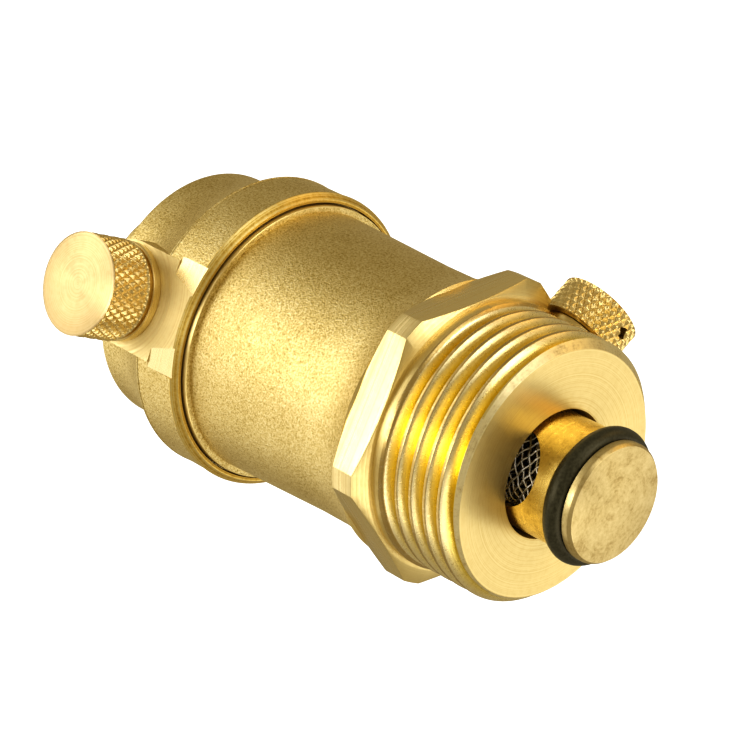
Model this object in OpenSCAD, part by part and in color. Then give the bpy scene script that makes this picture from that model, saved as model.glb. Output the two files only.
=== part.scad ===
/* [Inlet thread] */
// Outside diameter of the parallel pipe thread
thread_d = 33.24; // [33:0.02:33.4]
// Pitch of the thread
thread_pitch = 2.309; // [2.25:0.001:2.35]
// Depth of the thread
thread_depth = 1.479; // [1.3:0.001:1.5]
// Height of the hexagon's front above the end face
thread_len = 12.9; // [12.8:0.1:13]

/* [Hexagon] */
// Width across the flats
hex_af = 35; // [34.8:0.1:35.2]
// Turned diameter across the corners
hex_corner_d = 38.9; // [38.5:0.1:39.1]
// Height of the hexagon
hex_h = 4.75; // [4.6:0.05:4.8]

/* [Body] */
// Narrowest diameter of the cast barrel
barrel_d = 33.4; // [33.3:0.1:33.6]
// Diameter of the barrel under the bead
barrel_top_d = 34.6; // [34.4:0.1:34.8]
// Diameter of the plunger's bore
bore_d = 16; // [16:0.1:16.2]
// Inside diameter of the float chamber
chamber_d = 28.4; // [28.2:0.1:28.6]
// Height of the body's top edge
body_top = 52; // [51.9:0.1:52]

/* [Cap] */
// Outside diameter of the cap's skirt
cap_d = 38.7; // [38.6:0.1:38.8]
// Diameter of the upper part of the cap
crown_d = 33.3; // [33.2:0.1:33.4]
// Height of the crown's edge
crown_top = 63.7; // [63.6:0.1:63.8]
// Diameter of the round lug on top
lug_d = 18; // [17:0.5:19]
// Height of the lug's end
lug_top = 72.4; // [71:0.2:73]

/* [Vent valve] */
// Height of the vent valve's axis
vent_z = 58.4; // [58.3:0.1:58.5]
// Distance of the flat that carries the vent valve from the main axis
vent_flat = 18.3; // [18.2:0.1:18.4]
// Diameter of the vent knob
vent_knob_d = 12.9; // [12.6:0.1:13.2]
// Length of the vent knob
vent_knob_l = 6.1; // [6:0.1:6.4]

/* [Bleed valve] */
// Height of the bleed valve's axis
bleed_z = 11.3; // [11.2:0.1:11.4]
// Direction of the bleed valve around the main axis
bleed_angle = 34.5; // [34.5:60:334.5]
// Diameter of the bleed knob
bleed_knob_d = 10.6; // [10.4:0.1:10.8]
// Length of the bleed knob
bleed_knob_l = 4.85; // [4.8:0.05:5]

/* [Plunger] */
// Outside diameter of the plunger's tube
plunger_d = 15; // [14.8:0.1:15]
// How far the plunger stands out of the end face
plunger_out = 9.5; // [9.4:0.1:9.6]
// Diameter of the inlet window
window_d = 9.2; // [8.8:0.1:9.4]
// Travel of the plunger
plunger_travel = 5.6; // [5:0.1:5.6]

/* [Float and lever] */
// Diameter of the float
float_d = 25.6; // [25:0.2:25.8]
// Height of the float's bottom
float_z = 31; // [30.8:0.1:31.2]
// Height of the float
float_h = 15.7; // [15.5:0.1:15.7]
// Distance of the lever's pivot in front of the main axis
pivot_y = 9.5; // [9.4:0.1:9.6]
// Height of the lever's pivot
pivot_z = 54; // [53.9:0.1:54.1]
// Swing of the lever from open to shut
lever_swing = 15.8; // [15:0.1:15.8]

/* [Hidden] */
$fn = 96;

// body
thread_r = thread_d / 2;
first_groove_z = 1.3;
thread_grooves = 5;
crest_land = 0.5;
thread_half_angle = 27.5;
end_chamfer = 1.22;
collar_r = 16.95;
collar_z = 11.8;
hex_top = thread_len + hex_h;
corner_chamfer = 0.78;
barrel_r = barrel_d / 2;
barrel_top_r = barrel_top_d / 2;
flare_r = 15.1;
flare_z = 23.5;
draft_z = 28;
bead_z = 45.1;
bead_top = 46.9;
bead_r = 18.1;
cap_thread_r = 17.25;
shoulder_z = 14;
counterbore_r = 10.5;
counterbore_top = 28;
chamber_z = 30;
bead_chamfer = 0.15;
snap_groove_depth = 0.6;
snap_groove_slack = 0.1;
overlap = 0.5;
cut = 1;

// cap
cap_r = cap_d / 2;
crown_r = crown_d / 2;
rim_z = 45.7;
rim_in_r = 18.35;
skirt_z = 46.5;
shoulder_edge_z = 53.15;
concave_z = 62;
recess_z = 47.1;
ledge_z = 53.5;
cap_cavity_r = 14.6;
ceiling_z = 62;
dome_h = 3.8;
edge_round = 0.4;
lug_chamfer = 0.5;
gasket_in_r = 14.6;
boss_half = 6.6;
rim_chamfer = 0.4;
skirt_lip = 0.1;
skirt_lip_h = 0.2;

// vent valve, measured outward from the main axis
vent_bore_r = 4;
vent_seat = 12.2;
vent_knob_back = 20.2;
washer_t = 1.2;
nipple_tip = 23.4;
nipple_r = 3;
running_fit = 0.05;
touch_gap = 0.02;
vent_seal_t = 1.48;
vent_seal_r = 2.6;
vent_knob_chamfer = 0.35;
washer_inset = 0.15;
nipple_seat_r = 2.2;
nipple_seat_cone = 1;
nipple_flange_r = 5.6;
nipple_flange_t = 0.55;
nipple_chamfer = 0.3;
nipple_bore_r = 0.9;
escape_slot_w = 0.8;
escape_slot_in = 2.5;

// bleed valve, measured outward from the main axis
bleed_floor = 16.3;
bleed_pocket_r = 5.8;
bleed_inner = 9.7;
bleed_hole_r = 3;
bleed_back = 17.15;
bleed_spigot_r = 2.2;
bleed_tip = 19.2;
bleed_seal_t = 1.46;
bleed_seal_r = 1.9;
bleed_drill_r = 0.8;
bleed_flange_r = 4.4;
bleed_flange_gap = 0.1;
bleed_bore_r = 0.6;
bleed_knob_chamfer = 0.3;
cross_hole_r = 0.6;
cross_hole_back = 0.65;

// plunger
plunger_r = plunger_d / 2;
tube_in_r = 6.3;
plunger_top = 15.8;
ring_z = -6.8;
ring_section_r = 1.25;
ring_mean_r = 7.25;
groove_half = 1.4;
end_wall = 4.6;
window_z = 1.3;
filter_r = 6.15;
filter_t = 0.25;
filter_top = 12.4;
hoop_h = 0.8;
clip_z = 14.2;
clip_t = 1;
clip_r = 9.4;
clip_groove_r = 6.9;
spring_shut_h = 4.6;
spring_top = clip_z + clip_t + plunger_travel + spring_shut_h;
spring_mean_r = 8.6;
spring_wire_r = 0.4;
spring_turns = 4;
plunger_chamfer = 0.7;
flange_inset = 0.05;
clip_gap = 6;
spring_steps = 36;
spring_sides = 8;
retainer_t = 0.9;
retainer_gap = 0.1;
retainer_bore_r = 2.5;
retainer_hole_r = 1.6;
retainer_hole_ring = 5.6;
retainer_holes = 6;
snap_t = 0.9;
snap_proud = 0.5;
snap_in = 1.2;
snap_gap = 5;

// float
float_r = float_d / 2;
float_wall = 0.8;
float_round = 2;
lid_t = 0.8;
lid_skirt_h = 1.6;
stem_r = 1.1;
stem_foot_r = 3;
stem_foot_h = 0.8;
eye_r = 2;
eye_t = 1;
eye_slack = 0.3;

// lever
float_arm = pivot_y;
pad_arm = vent_z - pivot_z;
pad_r = 1.9;
holder_wall = 0.4;
pin_r = 1;
hub_r = 1.7;
hub_half = 3.1;
pad_face = 2.6;
pad_floor = 0.6;
holder_t = 1.8;
pin_slack = 0.03;
pad_arm_w = 4.8;
pad_arm_t = 1;
pad_arm_over = 1.8;
float_arm_w = 3.4;
float_arm_t = 1.2;
float_arm_over = 0.8;
fork_w = 1.8;
fork_l = 2.7;
tie_r = 0.6;
tie_half = 1.7;
tie_z = pivot_z - float_arm * sin(lever_swing / 2);

// bracket
cheek_in = 3.4;
cheek_t = 0.8;
cheek_l = 4.5;
cheek_below = 1.8;
plate_t = 1;
plate_half = 8;
plate_front = 11.5;
plate_l = 19;
pin_half = 5;
clip_half = 0.25;
pin_clip_r = 2;
pin_clip_slot = 1.2;
screw_x = 6;
screw_y = 4;
screw_r = 1.2;
screw_slack = 0.1;
screw_head_r = 2.2;
screw_head_h = 1.4;
screw_tip = 64.3;
screw_hole_top = 64.6;
driver_slot_w = 0.6;
driver_slot_d = 0.6;

// Points of an arc about [cr, cz] from angle a0 to a1, as [radius, height] pairs.
function arc(cr, cz, r, a0, a1, n = 8) =
    [for (i = [0:n]) let (a = a0 + (a1 - a0) * i / n) [cr + r * cos(a), cz + r * sin(a)]];

module tube(r_out, r_in, z0, z1) {
    translate([0, 0, z0])
    difference() {
        cylinder(r = r_out, h = z1 - z0);
        translate([0, 0, -cut]) cylinder(r = r_in, h = z1 - z0 + 2 * cut);
    }
}

module rod(r, z0, z1) {
    translate([0, 0, z0]) cylinder(r = r, h = z1 - z0);
}

// Puts a turned part on the vent valve's axis: its z becomes the distance from the main axis.
module on_vent_axis() {
    translate([0, 0, vent_z]) rotate([90, 0, 0]) children();
}

module on_bleed_axis() {
    rotate([0, 0, bleed_angle]) translate([0, 0, bleed_z]) rotate([0, 90, 0]) children();
}

// Puts a part drawn about its own origin on the lever's pivot, turned by a.
module on_pivot(a = 0) {
    translate([0, -pivot_y, pivot_z]) rotate([a, 0, 0]) children();
}

module cross_rod(r, half) {
    rotate([0, 90, 0]) cylinder(r = r, h = 2 * half, center = true);
}

// ---------- body ----------

module thread_groove(z) {
    flank = thread_depth * tan(thread_half_angle);
    mouth = (thread_pitch - crest_land) / 2;
    root = mouth - flank;
    translate([0, 0, z])
    rotate_extrude()
    polygon([
        [thread_r - thread_depth, -root], [thread_r, -mouth], [thread_r + cut, -mouth],
        [thread_r + cut, mouth], [thread_r, mouth], [thread_r - thread_depth, root]
    ]);
}

module hexagon() {
    intersection() {
        rotate([0, 0, bleed_angle - 30])
        rod(hex_af / 2 / cos(30), thread_len, hex_top, $fn = 6);
        rotate_extrude()
        polygon([
            [0, thread_len], [hex_af / 2, thread_len],
            [hex_corner_d / 2, thread_len + corner_chamfer],
            [hex_corner_d / 2, hex_top - corner_chamfer], [hex_af / 2, hex_top], [0, hex_top]
        ]);
    }
}

module body_outside() {
    flare_a = asin((flare_z - hex_top) / flare_r);
    rotate_extrude()
    polygon(concat(
        [
            [0, 0], [thread_r - end_chamfer, 0], [thread_r, end_chamfer], [thread_r, collar_z],
            [collar_r, collar_z], [collar_r, hex_top - overlap]
        ],
        arc(barrel_r + flare_r, flare_z, flare_r, 180 + flare_a, 180),
        [
            [barrel_r, draft_z], [barrel_top_r, bead_z], [bead_r - bead_chamfer, bead_z],
            [bead_r, bead_z + bead_chamfer], [bead_r, bead_top], [cap_thread_r, bead_top],
            [cap_thread_r, body_top], [0, body_top]
        ]
    ));
}

module body_inside() {
    snap_z = spring_top + retainer_t;
    rotate_extrude()
    polygon([
        [0, -cut], [bore_d / 2, -cut], [bore_d / 2, shoulder_z], [counterbore_r, shoulder_z],
        [counterbore_r, counterbore_top], [chamber_d / 2, chamber_z],
        [chamber_d / 2, body_top + cut], [0, body_top + cut]
    ]);
    rod(counterbore_r + snap_groove_depth, snap_z, snap_z + snap_t + snap_groove_slack);
}

module body() {
    color("darkkhaki")
    difference() {
        union() {
            body_outside();
            hexagon();
        }
        body_inside();
        for (k = [0:thread_grooves - 1]) thread_groove(first_groove_z + k * thread_pitch);
        on_bleed_axis() {
            rod(bleed_pocket_r, bleed_floor, thread_d);
            rod(bleed_hole_r, bleed_inner, bleed_floor + cut);
            rod(bleed_drill_r, bore_d / 2 - cut, bleed_inner + cut);
        }
    }
}

// ---------- cap ----------

module cap_outside() {
    shoulder_w = cap_r - crown_r;
    concave_h = concave_z - shoulder_edge_z;
    concave_r = (shoulder_w * shoulder_w + concave_h * concave_h) / (2 * shoulder_w);
    concave_a = asin(concave_h / concave_r);
    dome_w = crown_r - edge_round;
    dome_r = (dome_w * dome_w + dome_h * dome_h) / (2 * dome_h);
    dome_a = asin(dome_w / dome_r);
    lug_a = asin(lug_d / 2 / dome_r);
    rotate_extrude()
    polygon(concat(
        [
            [0, rim_z], [rim_in_r + rim_chamfer, rim_z], [cap_r + skirt_lip, skirt_z],
            [cap_r, skirt_z + skirt_lip_h]
        ],
        arc(crown_r + concave_r, concave_z, concave_r, 180 + concave_a, 180),
        arc(crown_r - edge_round, crown_top - edge_round, edge_round, 0, 90, 4),
        arc(0, crown_top + dome_h - dome_r, dome_r, 90 - dome_a, 90 - lug_a),
        [
            [lug_d / 2, lug_top - lug_chamfer], [lug_d / 2 - lug_chamfer, lug_top], [0, lug_top]
        ]
    ));
}

module vent_boss() {
    rotate([90, 0, 0])
    linear_extrude(vent_flat)
    union() {
        translate([-boss_half, skirt_z]) square([2 * boss_half, vent_z - skirt_z]);
        translate([0, vent_z]) circle(r = boss_half);
    }
}

module cap() {
    color("darkkhaki")
    difference() {
        union() {
            cap_outside();
            vent_boss();
        }
        translate([-boss_half, -cap_r - cut, skirt_z])
        cube([2 * boss_half, cap_r + cut - vent_flat, vent_z + boss_half - skirt_z]);
        rod(rim_in_r, rim_z - cut, recess_z);
        rod(cap_thread_r + running_fit, rim_z - cut, ledge_z);
        rod(cap_cavity_r, rim_z - cut, ceiling_z);
        on_vent_axis() rod(vent_bore_r, vent_seat, vent_flat + cut);
        for (s = [-1, 1])
        translate([s * screw_x, screw_y, 0])
        rod(screw_r, ceiling_z - cut, screw_hole_top);
    }
}

module cap_gasket() {
    color("dimgray") tube(cap_thread_r - running_fit, gasket_in_r, body_top, ledge_z);
}

// ---------- vent valve ----------

module vent_nipple() {
    flange = vent_flat + washer_t;
    flange_end = flange + nipple_flange_t;
    color("gold")
    on_vent_axis()
    difference() {
        rotate_extrude()
        polygon([
            [0, vent_seat], [nipple_seat_r, vent_seat], [vent_bore_r, vent_seat + nipple_seat_cone],
            [vent_bore_r, flange], [nipple_flange_r, flange], [nipple_flange_r, flange_end],
            [nipple_r, flange_end], [nipple_r, nipple_tip - nipple_chamfer],
            [nipple_r - nipple_chamfer, nipple_tip], [0, nipple_tip]
        ]);
        rod(nipple_bore_r, vent_seat - cut, nipple_tip + cut);
        translate([-escape_slot_w / 2, escape_slot_in, flange_end])
        cube([escape_slot_w, nipple_r, nipple_tip]);
    }
}

module nipple_washer() {
    color("silver")
    on_vent_axis() tube(vent_knob_d / 2 - washer_inset, vent_bore_r, vent_flat, vent_flat + washer_t);
}

// A round screw-down knob with chamfered ends and a blind bore.
module knob(r, back, length, bore_r, bore_end, chamfer) {
    difference() {
        rotate_extrude()
        polygon([
            [0, back], [r - chamfer, back], [r, back + chamfer],
            [r, back + length - chamfer], [r - chamfer, back + length], [0, back + length]
        ]);
        rod(bore_r, back - cut, bore_end);
    }
}

module vent_knob() {
    color("silver")
    on_vent_axis()
    knob(vent_knob_d / 2, vent_knob_back, vent_knob_l, nipple_r + running_fit,
        nipple_tip + vent_seal_t + 2 * touch_gap, vent_knob_chamfer);
}

module vent_knob_seal() {
    seal_z = nipple_tip + touch_gap;
    color("black") on_vent_axis() rod(vent_seal_r, seal_z, seal_z + vent_seal_t);
}

// ---------- bleed valve ----------

module bleed_stem() {
    color("gold")
    on_bleed_axis()
    difference() {
        union() {
            rod(bleed_hole_r, bleed_inner, bleed_floor);
            rod(bleed_flange_r, bleed_floor, bleed_back - bleed_flange_gap);
            rod(bleed_spigot_r, bleed_floor, bleed_tip);
        }
        rod(bleed_bore_r, bleed_inner - cut, bleed_tip + cut);
    }
}

module bleed_knob() {
    bore_end = bleed_tip + bleed_seal_t + 2 * touch_gap;
    color("silver")
    on_bleed_axis()
    difference() {
        knob(bleed_knob_d / 2, bleed_back, bleed_knob_l, bleed_spigot_r + running_fit, bore_end,
            bleed_knob_chamfer);
        translate([0, 0, bore_end - cross_hole_back])
        rotate([0, 90, 0])
        cylinder(r = cross_hole_r, h = bleed_knob_d);
    }
}

module bleed_seal() {
    seal_z = bleed_tip + touch_gap;
    color("black") on_bleed_axis() rod(bleed_seal_r, seal_z, seal_z + bleed_seal_t);
}

// ---------- float ----------

module float_shell() {
    inner_r = float_r - float_wall;
    color("ivory")
    difference() {
        rotate_extrude()
        polygon(concat(
            [[0, float_z]],
            arc(float_r - float_round, float_z + float_round, float_round, -90, 0, 6),
            [[float_r, float_z + float_h - lid_t], [0, float_z + float_h - lid_t]]
        ));
        rod(inner_r, float_z + float_round, float_z + float_h);
    }
}

module float_lid() {
    top = float_z + float_h;
    color("ivory")
    union() {
        rod(float_r, top - lid_t, top);
        tube(float_r - float_wall, float_r - 2 * float_wall, top - lid_t - lid_skirt_h, top - lid_t);
    }
}

module float_stem() {
    top = float_z + float_h;
    color("ivory")
    difference() {
        union() {
            rod(stem_foot_r, top, top + stem_foot_h);
            rod(stem_r, top, tie_z - eye_r + eye_slack);
            translate([0, 0, tie_z]) cross_rod(eye_r, eye_t / 2);
        }
        translate([0, 0, tie_z]) cross_rod(tie_r + eye_slack, eye_t);
    }
}

// ---------- lever ----------

module lever() {
    color("silver")
    difference() {
        union() {
            on_pivot() cross_rod(hub_r, hub_half);
            on_pivot(-lever_swing) {
                translate([-pad_arm_w / 2, -pad_arm_t / 2, 0])
                cube([pad_arm_w, pad_arm_t, pad_arm + pad_arm_over]);
                translate([0, pad_arm_t / 2, pad_arm])
                rotate([90, 0, 0])
                cylinder(r = pad_r + holder_wall, h = holder_t);
            }
            on_pivot(-lever_swing / 2) {
                difference() {
                    translate([-float_arm_w / 2, 0, -float_arm_t / 2])
                    cube([float_arm_w, float_arm + float_arm_over, float_arm_t]);
                    translate([-fork_w / 2, float_arm - fork_l, -float_arm_t])
                    cube([fork_w, 2 * fork_l, 2 * float_arm_t]);
                }
                translate([0, float_arm, 0]) cross_rod(tie_r, tie_half);
            }
        }
        on_pivot() cross_rod(pin_r + pin_slack, hub_half + cut);
        on_pivot(-lever_swing)
        translate([0, -pad_floor, pad_arm])
        rotate([90, 0, 0])
        cylinder(r = pad_r, h = holder_t);
    }
}

module seal_pad() {
    color("black")
    on_pivot(-lever_swing)
    translate([0, -pad_floor, pad_arm])
    rotate([90, 0, 0])
    cylinder(r = pad_r, h = pad_face - pad_floor);
}

module lever_pin() {
    color("silver") on_pivot() cross_rod(pin_r, pin_half);
}

module pin_clips() {
    color("silver")
    for (s = [-1, 1])
    on_pivot()
    translate([s * (cheek_in + cheek_t + clip_half), 0, 0])
    difference() {
        cross_rod(pin_clip_r, clip_half);
        cross_rod(pin_r, 2 * clip_half);
        translate([-clip_half - cut, -pin_clip_slot / 2, 0])
        cube([2 * (clip_half + cut), pin_clip_slot, pin_clip_r + cut]);
    }
}

module lever_bracket() {
    color("silver")
    difference() {
        union() {
            translate([-plate_half, -plate_front, ceiling_z - plate_t])
            cube([2 * plate_half, plate_l, plate_t]);
            for (s = [-1, 1])
            translate([s > 0 ? cheek_in : -cheek_in - cheek_t, -plate_front, pivot_z - cheek_below])
            cube([cheek_t, cheek_l, ceiling_z - pivot_z + cheek_below - plate_t / 2]);
        }
        on_pivot() cross_rod(pin_r, pin_half + cut);
        for (s = [-1, 1])
        translate([s * screw_x, screw_y, 0])
        rod(screw_r + screw_slack, ceiling_z - plate_t - cut, ceiling_z + cut);
    }
}

module bracket_screws() {
    head_z = ceiling_z - plate_t - screw_head_h;
    color("gold")
    for (s = [-1, 1])
    translate([s * screw_x, screw_y, 0])
    difference() {
        union() {
            rod(screw_head_r, head_z, ceiling_z - plate_t);
            rod(screw_r, ceiling_z - plate_t, screw_tip);
        }
        translate([-driver_slot_w / 2, -screw_head_r - cut, head_z - cut])
        cube([driver_slot_w, 2 * (screw_head_r + cut), driver_slot_d + cut]);
    }
}

// ---------- plunger ----------

module plunger() {
    groove_r = ring_mean_r - ring_section_r;
    flange_r = plunger_r - flange_inset;
    color("goldenrod")
    difference() {
        rotate_extrude()
        polygon([
            [0, -plunger_out], [flange_r - plunger_chamfer, -plunger_out],
            [flange_r, -plunger_out + plunger_chamfer],
            [flange_r, ring_z - groove_half], [groove_r, ring_z - groove_half],
            [groove_r, ring_z + groove_half], [plunger_r, ring_z + groove_half],
            [plunger_r, clip_z], [clip_groove_r, clip_z], [clip_groove_r, clip_z + clip_t],
            [plunger_r, clip_z + clip_t], [plunger_r, plunger_top], [0, plunger_top]
        ]);
        rod(tube_in_r, end_wall - plunger_out, plunger_top + cut);
        translate([0, 0, window_z])
        rotate([90, 0, 0])
        cylinder(r = window_d / 2, h = plunger_d + cut, center = true);
    }
}

module plunger_o_ring() {
    color("black")
    translate([0, 0, ring_z])
    rotate_extrude()
    translate([ring_mean_r, 0])
    circle(r = ring_section_r);
}

module mesh_filter() {
    floor_z = end_wall - plunger_out;
    color("silver") tube(filter_r, filter_r - filter_t, floor_z + hoop_h, filter_top - hoop_h);
}

module filter_hoops() {
    floor_z = end_wall - plunger_out;
    color("goldenrod") {
        tube(tube_in_r, filter_r - 2 * filter_t, floor_z, floor_z + hoop_h);
        tube(tube_in_r, filter_r - 2 * filter_t, filter_top - hoop_h, filter_top);
    }
}

module open_ring(r_out, r_in, z, t, gap) {
    difference() {
        tube(r_out, r_in, z, z + t);
        translate([0, -gap / 2, z - cut]) cube([r_out + cut, gap, t + 2 * cut]);
    }
}

module plunger_circlip() {
    color("silver") open_ring(clip_r, clip_groove_r, clip_z, clip_t, clip_gap);
}

// A round wire swept along a helix, closed at both ends.
module coil_spring(mean_r, wire_r, z0, z1, turns, steps, sides) {
    rings = turns * steps;
    rise = z1 - z0 - 2 * wire_r;
    points = [
        for (i = [0:rings], j = [0:sides - 1])
        let (a = 360 * i / steps, b = 360 * j / sides, r = mean_r + wire_r * cos(b))
        [r * cos(a), r * sin(a), z0 + wire_r + rise * i / rings + wire_r * sin(b)]
    ];
    walls = [
        for (i = [0:rings - 1], j = [0:sides - 1])
        let (k = (j + 1) % sides)
        [i * sides + j, (i + 1) * sides + j, (i + 1) * sides + k, i * sides + k]
    ];
    start_cap = [for (j = [0:sides - 1]) j];
    end_cap = [for (j = [sides - 1:-1:0]) rings * sides + j];
    polyhedron(points, concat(walls, [start_cap, end_cap]), convexity = 4);
}

module plunger_spring() {
    color("silver")
    coil_spring(spring_mean_r, spring_wire_r, clip_z + clip_t, spring_top, spring_turns,
        spring_steps, spring_sides);
}

module spring_retainer() {
    color("goldenrod")
    difference() {
        rod(counterbore_r - retainer_gap, spring_top, spring_top + retainer_t);
        rod(retainer_bore_r, spring_top - cut, spring_top + retainer_t + cut);
        for (k = [0:retainer_holes - 1])
        rotate([0, 0, 360 / retainer_holes * k])
        translate([retainer_hole_ring, 0, 0])
        rod(retainer_hole_r, spring_top - cut, spring_top + retainer_t + cut);
    }
}

module retainer_ring() {
    color("silver")
    open_ring(counterbore_r + snap_proud, counterbore_r - snap_in, spring_top + retainer_t,
        snap_t, snap_gap);
}

body();
cap();
cap_gasket();
vent_nipple();
nipple_washer();
vent_knob();
vent_knob_seal();
bleed_stem();
bleed_knob();
bleed_seal();
float_shell();
float_lid();
float_stem();
lever();
seal_pad();
lever_pin();
pin_clips();
lever_bracket();
bracket_screws();
plunger();
plunger_o_ring();
mesh_filter();
filter_hoops();
plunger_circlip();
plunger_spring();
spring_retainer();
retainer_ring();
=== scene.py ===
"""The visual model of a brass automatic air vent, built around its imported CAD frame.

Lengths in the part's own sections are millimetres, as in the CAD source, and meshes are scaled to
metres when they are made. The vent stands on +Z with its inlet at the origin, and the vent knob points
along -Y. Offsets of a few tenths of a millimetre or less in the profiles round or break an edge, and
those in the tests that choose a face's material are tolerances. Cutting tools reach a millimetre or
more past the surfaces they cut.
"""

import math

import bmesh
import bpy
from mathutils import Matrix, Vector


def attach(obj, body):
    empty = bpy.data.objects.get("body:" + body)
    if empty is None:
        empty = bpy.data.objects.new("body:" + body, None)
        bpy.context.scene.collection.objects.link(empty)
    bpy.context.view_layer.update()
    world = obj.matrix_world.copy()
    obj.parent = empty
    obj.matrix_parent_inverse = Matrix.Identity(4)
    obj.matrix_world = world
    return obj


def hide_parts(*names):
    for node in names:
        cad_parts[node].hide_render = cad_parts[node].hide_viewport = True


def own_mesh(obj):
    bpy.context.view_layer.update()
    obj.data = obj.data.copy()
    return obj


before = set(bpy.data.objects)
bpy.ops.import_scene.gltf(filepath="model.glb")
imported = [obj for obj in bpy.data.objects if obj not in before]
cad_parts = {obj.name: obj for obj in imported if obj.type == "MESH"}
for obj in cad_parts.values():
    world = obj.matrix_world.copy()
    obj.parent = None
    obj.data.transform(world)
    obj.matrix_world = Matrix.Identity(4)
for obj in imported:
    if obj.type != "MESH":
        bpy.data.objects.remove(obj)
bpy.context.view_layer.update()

MM = 0.001
TAU = 2 * math.pi
UP = (0, 0, 1)
ORIGIN = (0, 0, 0)

# ---------------------------------------------------------------- sizes, in millimetres and degrees

# inlet thread and hexagon
THREAD_R = 16.62
THREAD_PITCH = 2.309
THREAD_DEPTH = 1.479
THREAD_RUN_OUT = 0.9
CREST_Z = 2.45
CREST_ANGLE = -88
CHAMFER = 1.22
COLLAR_R = 16.95
COLLAR_Z = 11.8
HEX_Z = 12.9
HEX_TOP = 17.65
HEX_HALF = 17.5
HEX_CORNER_R = 19.45
HEX_CORNER_DROP = 0.78
HEX_EDGE = 0.12
HEX_IN_R = 13.0

# inside of the body, from the end face upwards
BORE_R = 8.0
BORE_EDGE = 0.25
NECK_R = 10.5
NECK_Z = 14
NECK_TOP = 28
SNAP_R = 11.1
SNAP_Z = 26.3
SNAP_H = 1
CHAMBER_R = 14.2
CHAMBER_Z = 30

# barrel
BARREL_R = 16.7
FLARE_R = 15.1
FLARE_Z = 23.5
FLARE_ANGLE = 202.8
DRAFT_Z = 28.0
BARREL_TOP_R = 17.3
BEAD_Z = 45.1
BEAD_TOP = 46.9
BEAD_R = 18.1
BEAD_EDGE = 0.15
CAP_THREAD_R = 17.25
BODY_TOP = 52.0

# cap
CAP_R = 19.35
CROWN_R = 16.65
CROWN_TOP = 63.7
CROWN_EDGE = 0.4
RIM_Z = 45.7
RIM_IN_R = 18.35
RIM_LAND = 0.4
SKIRT_Z = 46.5
SHOULDER_Z = 53.15
CONCAVE_Z = 62.0
DOME_H = 3.8
LUG_R = 9.0
LUG_TOP = 72.4
LUG_EDGE = 0.5
BOSS_HALF = 6.6
BOSS_BACK = 8
VENT_FLAT = 18.3
CAP_IN_R = 17.3
CAP_IN_Z = 47.1
CAP_BORE_R = 14.6
CEILING_Z = 62.0
LEDGE_Z = 53.5

# valves
VENT_Z = 58.4
VENT_KNOB_R = 6.45
VENT_KNOB_BACK = 20.2
VENT_KNOB_END = 26.3
VENT_BORE_R = 3.05
VENT_BORE_END = 24.92
VENT_KNURLS = 40
VENT_HOLE_R = 4
VENT_HOLE_IN = 12
VENT_HOLE_OUT = 22
WASHER_IN_R = 4.02
WASHER_R = 6.3
WASHER_END = 19.5
WASHER_EDGE = 0.15
BLEED_Z = 11.3
BLEED_ANGLE = 34.5
BLEED_KNOB_R = 5.3
BLEED_KNOB_BACK = 17.15
BLEED_KNOB_END = 22.0
BLEED_BORE_R = 2.25
BLEED_BORE_END = 20.7
BLEED_KNURLS = 33
BLEED_FLOOR = 16.3
BLEED_POCKET_R = 5.8
BLEED_HOLE_R = 3.0
BLEED_DRILL_R = 0.8
BLEED_INNER = 9.7
CROSS_HOLE_R = 0.7
CROSS_HOLE_AT = 20.1
KNURL_HELIX = 30
KNURL_DEPTH = 0.34
KNURL_FADE = 0.32

# plunger
PLUNGER_R = 7.5
PLUNGER_OUT = 9.5
PLUNGER_TOP = 15.8
TUBE_IN_R = 6.3
RING_Z = -6.8
RING_SECTION_R = 1.25
RING_MEAN_R = 7.25
RING_SIDES = 24
RING_GROOVE_HALF = 1.4
CLIP_GROOVE_R = 6.9
CLIP_GROOVE_Z = 14.2
CLIP_GROOVE_TOP = 15.2
WINDOW_Z = 1.3
WINDOW_R = 4.6
FILTER_R = 6.1
FILTER_LOW = -4.9
FILTER_HIGH = 12.4
WIRE_R = 0.14
WIRE_STARTS = 20
WIRE_HELIX = 32
WIRE_LIFT = 0.9
WIRE_INSET = 0.25
WIRE_GAP = 0.2
SPRING_LOW = 15.2
SPRING_HIGH = 25.4
SPRING_MEAN_R = 8.6
SPRING_WIRE_R = 0.4
SPRING_TURNS = 5.5
SPRING_END_TURNS = 0.75

# ---------------------------------------------------------------- mesh helpers


def arc(cr, cz, r, a0, a1, n=8):
    """Points of an arc about (cr, cz), from angle a0 to a1 in degrees."""
    steps = [math.radians(a0 + (a1 - a0) * i / n) for i in range(n + 1)]
    return [(cr + r * math.cos(a), cz + r * math.sin(a)) for a in steps]


def rounded(points, radius, steps=3):
    """A closed profile with each sharp corner off the axis rounded to about that radius."""
    out = []
    count = len(points)
    for i, p in enumerate(points):
        here = Vector(p)
        before = Vector(points[i - 1])
        after = Vector(points[(i + 1) % count])
        a, b = before - here, after - here
        cut = min(radius, a.length * 0.45, b.length * 0.45)
        if here.x < 1e-6 or a.angle(b) > math.radians(150):
            out.append(tuple(here))
            continue
        start, end = here + a.normalized() * cut, here + b.normalized() * cut
        for k in range(steps + 1):
            t = k / steps
            q = start * (1 - t) ** 2 + here * 2 * t * (1 - t) + end * t * t
            out.append(tuple(q))
    return out


def finish_mesh(bm, name, sharp=35, closed=True):
    """Turns a bmesh in millimetres into an object in metres, shaded smooth up to the sharp angle."""
    if closed:
        bmesh.ops.recalc_face_normals(bm, faces=bm.faces)
    bmesh.ops.scale(bm, vec=(MM, MM, MM), verts=bm.verts)
    mesh = bpy.data.meshes.new(name)
    bm.to_mesh(mesh)
    bm.free()
    obj = bpy.data.objects.new(name, mesh)
    bpy.context.scene.collection.objects.link(obj)
    shade(obj, sharp)
    return obj


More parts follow.
